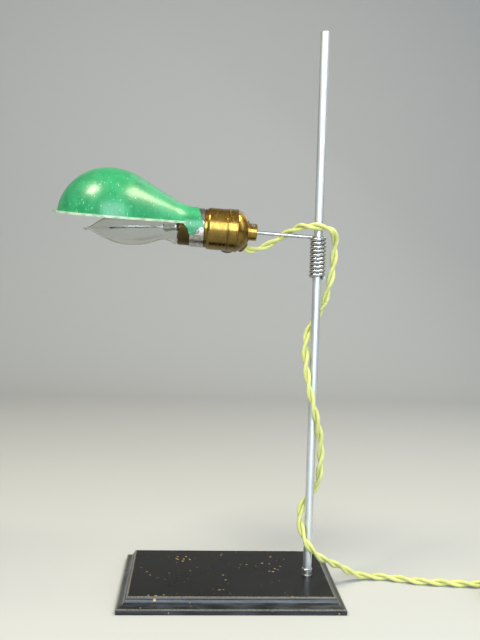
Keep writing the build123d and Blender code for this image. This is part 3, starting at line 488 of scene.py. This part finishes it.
def finishes():
    """One material for each of the record's slots."""
    return {
        "base_paint": base_paint(),
        "rod_steel": rod_steel(),
        "ferrule": plated("ferrule", (0.80, 0.80, 0.77), (0.50, 0.49, 0.46), 0.28, 0.45),
        "fixing_steel": plated("fixing_steel", (0.42, 0.41, 0.40), (0.22, 0.19, 0.16), 0.30, 0.50),
        "wire_steel": wire_steel(),
        "socket_brass": turned_brass("socket_brass", (0.56, 0.32, 0.060), (0.30, 0.18, 0.040), 0.6),
        "lamp_cap_brass": plain_brass("lamp_cap_brass", (0.46, 0.38, 0.20), (0.22, 0.18, 0.09)),
        "fixing_brass": plain_brass("fixing_brass", (0.60, 0.42, 0.14), (0.34, 0.23, 0.08)),
        "fibre": fibre(),
        "porcelain": glazed("porcelain", (0.80, 0.79, 0.74), (0.66, 0.64, 0.57)),
        "key_black": moulded("key_black", (0.012, 0.010, 0.009), (0.028, 0.022, 0.018), 0.25, 0.45),
        "shade_enamel": enamel(),
        "band_tin": plated("band_tin", (0.40, 0.40, 0.38), (0.20, 0.18, 0.14), 0.18, 0.40),
        "bulb_glass": clear_glass("bulb_glass", (0.84, 0.85, 0.82), 0.02),
        "cap_glass": moulded("cap_glass", (0.010, 0.008, 0.012), (0.02, 0.015, 0.025), 0.06, 0.14),
        "filament_carbon": carbon(),
        "cord_cloth": CORD_CLOTH,
        "lead_cover": CORD_CLOTH,
        "tie_tape": woven_tape(),
        "plug_black": moulded("plug_black", (0.014, 0.012, 0.010), (0.030, 0.024, 0.020), 0.28, 0.50),
    }


def paint_nodes():
    """Give each of the model's own nodes its slot's finish."""
    finish = finishes()
    for part in frame["record"]["subparts"]:
        node = frame["nodes"][part["node"]]
        node.data.materials.clear()
        node.data.materials.append(finish[part["material_slot"]])


# ---- cord ---------------------------------------------------------------------------------------

# Control points in millimetres: the same route as the model's cord.
ROUTE = [
    (3.0, 7.1, 320.2), (9.8, 9.9, 315.1), (18.2, 11.8, 316.3), (28.5, 12.4, 320.6), (39.0, 9.8, 327.3),
    (48.5, 5.6, 334.4), (57.5, -4.2, 338.6), (67.0, -12.8, 338.6), (77.5, -16.4, 337.4), (85.6, -13.4, 334.4),
    (88.9, -7.6, 327.0), (88.4, -5.4, 314.0), (88.2, -5.0, 302.0), (86.0, -4.4, 290.0), (83.4, -3.4, 278.0),
    (81.6, -0.6, 267.0), (76.5, 2.8, 257.5), (69.6, 2.6, 247.5), (65.2, -1.6, 235.0), (64.7, -7.4, 216.0),
    (67.2, -12.4, 195.0), (72.4, -14.6, 174.0), (78.2, -12.8, 155.0), (82.0, -7.0, 137.0),
    (82.6, -4.2, 117.0),
    (82.0, -1.8, 101.5), (78.2, 2.0, 91.5), (71.2, 3.4, 84.5), (65.8, -0.6, 75.5), (64.4, -7.0, 63.0),
    (67.4, -12.8, 51.0), (74.0, -15.2, 40.5), (83.5, -12.5, 31.4), (95.0, -6.0, 24.4), (107.0, 2.5, 17.0),
    (119.0, 9.5, 8.6), (133.0, 13.6, 3.6), (151.0, 13.8, 3.6), (169.0, 7.0, 3.6), (187.0, 1.2, 3.6),
    (207.0, -0.8, 3.6), (228.0, -4.6, 3.6), (250.0, -3.2, 3.7), (268.0, -3.4, 4.3),
]
TAIL = [(296.0, -3.6, 11.7), (308.0, -3.6, 9.6), (320.0, -4.4, 5.2), (333.0, -5.6, 3.6)]
CORD_DIAMETER = 7.2 * MM
STRAND_RADIUS = 1.8 * MM
STRAND_PITCH = 38.0 * MM
CORD_GAP = 1.2 * MM              # between neighbouring points of the cord's line
COIL_CENTRE, COIL_RADIUS, COIL_BASE = (284.0, -50.0), 43.0, 0.9
COIL_TURNS = 4
COIL_STEPS = 16                  # control points in each turn
PLUG_REAR = (356.0, -10.0)
OVER_ARM = (44.0, 8.0, 331.0)    # near where the first span hands over to the second
BESIDE_ROD = (82.2, -1.6, 270.0)  # near where the second hands over to the third


def step(value, low, high):
    """0 below one value and 1 above the other, with a smooth rise between them."""
    t = min(max((value - low) / (high - low), 0.0), 1.0)
    return t * t * (3 - 2 * t)


def coil_route():
    """Four turns: outer and inner on the table, then inner and outer on top of them."""
    half = CORD_DIAMETER / MM / 2
    points = []
    for n in range(COIL_TURNS * COIL_STEPS + 1):
        turn = n / COIL_STEPS
        inward = step(turn, 0.7, 1.0) - step(turn, 2.7, 3.0)
        lift = step(turn, 1.72, 2.0)
        radius = (COIL_RADIUS + half - 2 * half * inward) / math.cos(math.pi / COIL_STEPS)
        a = math.tau * turn
        points.append((COIL_CENTRE[0] + radius * math.sin(a), COIL_CENTRE[1] + radius * math.cos(a),
                       COIL_BASE + half + 2 * half * lift))
    return points


def plug_entry():
    """The plug's rear, and the last point of the cord before it, on the plug's own axis."""
    rear_radius, front_radius, length, heading = 7.0, 15.5, 30.0, math.radians(-12.0)
    taper = math.atan((front_radius - rear_radius) / length)
    out = Vector((math.cos(taper) * math.cos(heading), math.cos(taper) * math.sin(heading), math.sin(taper)))
    rear = Vector((*PLUG_REAR, rear_radius * math.cos(taper)))
    run = (rear.z - CORD_DIAMETER / MM / 2) / math.sin(taper)
    return [tuple(rear - out * run), tuple(rear)]


def smooth_line(points):
    """Points along the NURBS line that has these control points."""
    data = bpy.data.curves.new("route", "CURVE")
    data.dimensions = "3D"
    data.resolution_u = 24
    spline = data.splines.new("NURBS")
    spline.points.add(len(points) - 1)
    for point, place in zip(spline.points, points):
        point.co = (place[0] * MM, place[1] * MM, place[2] * MM, 1.0)
    spline.order_u = 3
    spline.use_endpoint_u = True
    holder = bpy.data.objects.new("route", data)
    mesh = bpy.data.meshes.new_from_object(holder)
    line = [v.co.copy() for v in mesh.vertices]
    bpy.data.objects.remove(holder)
    bpy.data.meshes.remove(mesh)
    return line


def spaced(line, gap):
    """The same line with points an even gap apart."""
    kept, carried = [line[0].copy()], 0.0
    for a, b in zip(line, line[1:]):
        length = (b - a).length
        while carried + length >= gap:
            a = a + (b - a) * ((gap - carried) / length)
            kept.append(a.copy())
            length = (b - a).length
            carried = 0.0
        carried += length
    return kept


def turning_frames(line):
    """For each point, a direction along the line and one across it that doesn't spin."""
    frames = []
    across = None
    for n, point in enumerate(line):
        ahead = line[min(n + 1, len(line) - 1)] - line[max(n - 1, 0)]
        ahead.normalize()
        if across is None:
            across = ahead.cross(Vector((0, 0, 1))).normalized()
        across = (across - ahead * across.dot(ahead)).normalized()
        frames.append((point, ahead, across.copy()))
    return frames


def strand_mesh(name, frames, travelled):
    """Two round strands twisted about the line."""
    sides = 12
    vertices, faces, coordinates = [], [], []
    for strand in range(2):
        first = len(vertices)
        for n, (point, ahead, across) in enumerate(frames):
            along = travelled[n]
            phase = math.tau * along / STRAND_PITCH + math.pi * strand
            beside = ahead.cross(across)
            out = across * math.cos(phase) + beside * math.sin(phase)
            centre = point + out * STRAND_RADIUS
            edge = ahead.cross(out)
            for k in range(sides):
                a = math.tau * k / sides
                vertices.append(centre + (out * math.cos(a) + edge * math.sin(a)) * STRAND_RADIUS)
        rings = len(frames)
        for n in range(rings - 1):
            for k in range(sides):
                a, b = first + n * sides + k, first + n * sides + (k + 1) % sides
                faces.append((a, b, b + sides, a + sides))
                coordinates += [(travelled[n], k / sides), (travelled[n], (k + 1) / sides),
                                (travelled[n + 1], (k + 1) / sides), (travelled[n + 1], k / sides)]
        for ring, flip in ((0, True), (rings - 1, False)):
            cap = [first + ring * sides + k for k in range(sides)]
            faces.append(tuple(reversed(cap)) if flip else tuple(cap))
            coordinates += [(travelled[ring], 0.0)] * sides
    piece = new_mesh(name, vertices, faces)
    layer = piece.data.uv_layers.new(name="along_around")
    for loop, place in zip(layer.data, coordinates):
        loop.uv = place
    piece.data.materials.append(CORD_CLOTH)
    return piece


def cord_span(name, frames, first, last):
    """One length of the cord, between two of its points: its piece, its line and its length."""
    span = frames[first:last + 1]
    travelled = [n * CORD_GAP for n in range(first, last + 1)]
    piece = strand_mesh(name, span, travelled)
    line = [f[0] for f in span]
    length = CORD_GAP * (len(span) - 1)
    return piece, line, length


def nearest(frames, place):
    """The number of the cord's point that lies nearest to a place given in millimetres."""
    return min(range(len(frames)), key=lambda n: (frames[n][0] - Vector(place) * MM).length)


def cords():
    """The cord as three spans, because it crosses two joints."""
    line = spaced(smooth_line(ROUTE + coil_route() + TAIL + plug_entry()), CORD_GAP)
    frames = turning_frames(line)
    over_arm = nearest(frames, OVER_ARM)
    beside_rod = nearest(frames, BESIDE_ROD)

    piece, path, length = cord_span("cord_at_socket", frames, 0, over_arm)
    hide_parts("cord_head")
    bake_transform(piece)

    piece, path, length = cord_span("cord_round_rod", frames, over_arm, beside_rod)
    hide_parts("cord_top", "cord_side")
    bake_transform(piece)

    piece, path, length = cord_span("cord_to_plug", frames, beside_rod, len(frames) - 1)
    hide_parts("cord_rod", "cord_table", "cord_coil", "cord_tail")
    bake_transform(piece)


camera()
studio()
CORD_CLOTH = cloth_cord()
paint_nodes()
cords()
